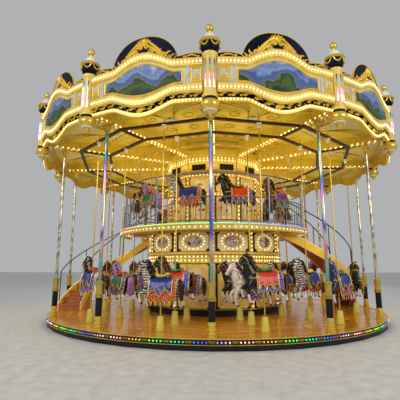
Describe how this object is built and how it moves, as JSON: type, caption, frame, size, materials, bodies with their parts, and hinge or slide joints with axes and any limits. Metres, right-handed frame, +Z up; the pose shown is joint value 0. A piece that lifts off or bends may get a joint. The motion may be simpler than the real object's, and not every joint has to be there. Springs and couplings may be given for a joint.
{
  "type": "fairground carousel",
  "caption": "Double-deck fairground carousel with a turning platform, rising horses, two curved stairs to a ring-shaped upper deck, and curved rounding boards under a conical roof.",
  "frame": {"origin": "on the ground at the centre of the machine", "axes": "+Z up, -Y towards the front column, +X to the right seen from the front"},
  "size_m": [11.7, 11.7, 8],
  "materials": {
    "black_base": "satin black paint",
    "deck_wood": "glossy varnished boards",
    "gold_trim": "polished gold colour",
    "ceiling_yellow": "satin yellow paint",
    "roof_cream": "satin cream paint",
    "cream_panel": "gloss cream paint",
    "board_yellow": "moulded gold and cream glass-fibre",
    "rail_steel": "bright polished",
    "stair_yellow": "gloss yellow paint",
    "horse_navy": "gloss painted glass-fibre",
    "horse_red": "gloss painted glass-fibre",
    "horse_green": "gloss painted glass-fibre",
    "horse_white": "gloss painted glass-fibre"
  },
  "bodies": {
    "base": {"base_frame": "black_base"},
    "platform": {"lower_deck": "deck_wood", "canopy_frame": "gold_trim", "guide_rings": "black_base", "ceiling": "ceiling_yellow", "roof": "roof_cream", "lower_drum": "cream_panel", "upper_drum": "cream_panel", "upper_deck": "deck_wood", "railing_front": "rail_steel", "railing_back": "rail_steel", "stair_left": "stair_yellow", "stair_right": "stair_yellow", "inner_row": "horse_white", "upper_row_right": "horse_white", "upper_row_left": "horse_white", "column_1": "gold_trim", "rounding_board_1": "board_yellow", "column_2": "gold_trim", "rounding_board_2": "board_yellow", "column_3": "gold_trim", "rounding_board_3": "board_yellow", "column_4": "gold_trim", "rounding_board_4": "board_yellow", "column_5": "gold_trim", "rounding_board_5": "board_yellow", "column_6": "gold_trim", "rounding_board_6": "board_yellow", "column_7": "gold_trim", "rounding_board_7": "board_yellow", "column_8": "gold_trim", "rounding_board_8": "board_yellow", "column_9": "gold_trim", "rounding_board_9": "board_yellow", "column_10": "gold_trim", "rounding_board_10": "board_yellow", "column_11": "gold_trim", "rounding_board_11": "board_yellow", "column_12": "gold_trim", "rounding_board_12": "board_yellow"},
    "outer_horse_1": {"outer_horse_1": "horse_red"},
    "outer_horse_2": {"outer_horse_2": "horse_green"},
    "outer_horse_3": {"outer_horse_3": "horse_white"},
    "outer_horse_5": {"outer_horse_5": "horse_red"},
    "outer_horse_6": {"outer_horse_6": "horse_green"},
    "outer_horse_7": {"outer_horse_7": "horse_white"},
    "outer_horse_8": {"outer_horse_8": "horse_navy"},
    "outer_horse_9": {"outer_horse_9": "horse_red"},
    "outer_horse_11": {"outer_horse_11": "horse_white"},
    "outer_horse_12": {"outer_horse_12": "horse_navy"},
    "middle_horse_1": {"middle_horse_1": "horse_white"},
    "middle_horse_2": {"middle_horse_2": "horse_navy"},
    "middle_horse_4": {"middle_horse_4": "horse_green"},
    "middle_horse_5": {"middle_horse_5": "horse_white"},
    "middle_horse_6": {"middle_horse_6": "horse_navy"},
    "middle_horse_7": {"middle_horse_7": "horse_red"},
    "middle_horse_8": {"middle_horse_8": "horse_green"},
    "middle_horse_10": {"middle_horse_10": "horse_navy"},
    "middle_horse_11": {"middle_horse_11": "horse_red"},
    "middle_horse_12": {"middle_horse_12": "horse_green"}
  },
  "joints": [
    {"name": "platform_turn", "type": "hinge", "parent": "base", "child": "platform", "pos_m": [0, 0, 0], "axis": [0, 0, 1], "continuous": true},
    {"name": "outer_rise_1", "type": "slide", "parent": "platform", "child": "outer_horse_1", "axis": [0, 0, 1], "range_m": [-0.1927, 0.0273]},
    {"name": "outer_rise_2", "type": "slide", "parent": "platform", "child": "outer_horse_2", "axis": [0, 0, 1], "range_m": [-0.1023, 0.1177]},
    {"name": "outer_rise_3", "type": "slide", "parent": "platform", "child": "outer_horse_3", "axis": [0, 0, 1], "range_m": [-0.0233, 0.1967]},
    {"name": "outer_rise_5", "type": "slide", "parent": "platform", "child": "outer_horse_5", "axis": [0, 0, 1], "range_m": [-0.1774, 0.0426]},
    {"name": "outer_rise_6", "type": "slide", "parent": "platform", "child": "outer_horse_6", "axis": [0, 0, 1], "range_m": [-0.1821, 0.0379]},
    {"name": "outer_rise_7", "type": "slide", "parent": "platform", "child": "outer_horse_7", "axis": [0, 0, 1], "range_m": [-0.0799, 0.1401]},
    {"name": "outer_rise_8", "type": "slide", "parent": "platform", "child": "outer_horse_8", "axis": [0, 0, 1], "range_m": [-0.0223, 0.1977]},
    {"name": "outer_rise_9", "type": "slide", "parent": "platform", "child": "outer_horse_9", "axis": [0, 0, 1], "range_m": [-0.0947, 0.1253]},
    {"name": "outer_rise_11", "type": "slide", "parent": "platform", "child": "outer_horse_11", "axis": [0, 0, 1], "range_m": [-0.1666, 0.0534]},
    {"name": "outer_rise_12", "type": "slide", "parent": "platform", "child": "outer_horse_12", "axis": [0, 0, 1], "range_m": [-0.0595, 0.1605]},
    {"name": "middle_rise_1", "type": "slide", "parent": "platform", "child": "middle_horse_1", "axis": [0, 0, 1], "range_m": [-0.0273, 0.1927]},
    {"name": "middle_rise_2", "type": "slide", "parent": "platform", "child": "middle_horse_2", "axis": [0, 0, 1], "range_m": [-0.1177, 0.1023]},
    {"name": "middle_rise_4", "type": "slide", "parent": "platform", "child": "middle_horse_4", "axis": [0, 0, 1], "range_m": [-0.1472, 0.0728]},
    {"name": "middle_rise_5", "type": "slide", "parent": "platform", "child": "middle_horse_5", "axis": [0, 0, 1], "range_m": [-0.0426, 0.1774]},
    {"name": "middle_rise_6", "type": "slide", "parent": "platform", "child": "middle_horse_6", "axis": [0, 0, 1], "range_m": [-0.0379, 0.1821]},
    {"name": "middle_rise_7", "type": "slide", "parent": "platform", "child": "middle_horse_7", "axis": [0, 0, 1], "range_m": [-0.1401, 0.0799]},
    {"name": "middle_rise_8", "type": "slide", "parent": "platform", "child": "middle_horse_8", "axis": [0, 0, 1], "range_m": [-0.1977, 0.0223]},
    {"name": "middle_rise_10", "type": "slide", "parent": "platform", "child": "middle_horse_10", "axis": [0, 0, 1], "range_m": [-0.0302, 0.1898]},
    {"name": "middle_rise_11", "type": "slide", "parent": "platform", "child": "middle_horse_11", "axis": [0, 0, 1], "range_m": [-0.0534, 0.1666]},
    {"name": "middle_rise_12", "type": "slide", "parent": "platform", "child": "middle_horse_12", "axis": [0, 0, 1], "range_m": [-0.1605, 0.0595]}
  ],
  "couplings": [
    {"joint": "middle_rise_1", "follows": "outer_rise_1", "ratio": -1},
    {"joint": "middle_rise_2", "follows": "outer_rise_2", "ratio": -1},
    {"joint": "middle_rise_5", "follows": "outer_rise_5", "ratio": -1},
    {"joint": "middle_rise_6", "follows": "outer_rise_6", "ratio": -1},
    {"joint": "middle_rise_7", "follows": "outer_rise_7", "ratio": -1},
    {"joint": "middle_rise_8", "follows": "outer_rise_8", "ratio": -1},
    {"joint": "middle_rise_11", "follows": "outer_rise_11", "ratio": -1},
    {"joint": "middle_rise_12", "follows": "outer_rise_12", "ratio": -1}
  ]
}
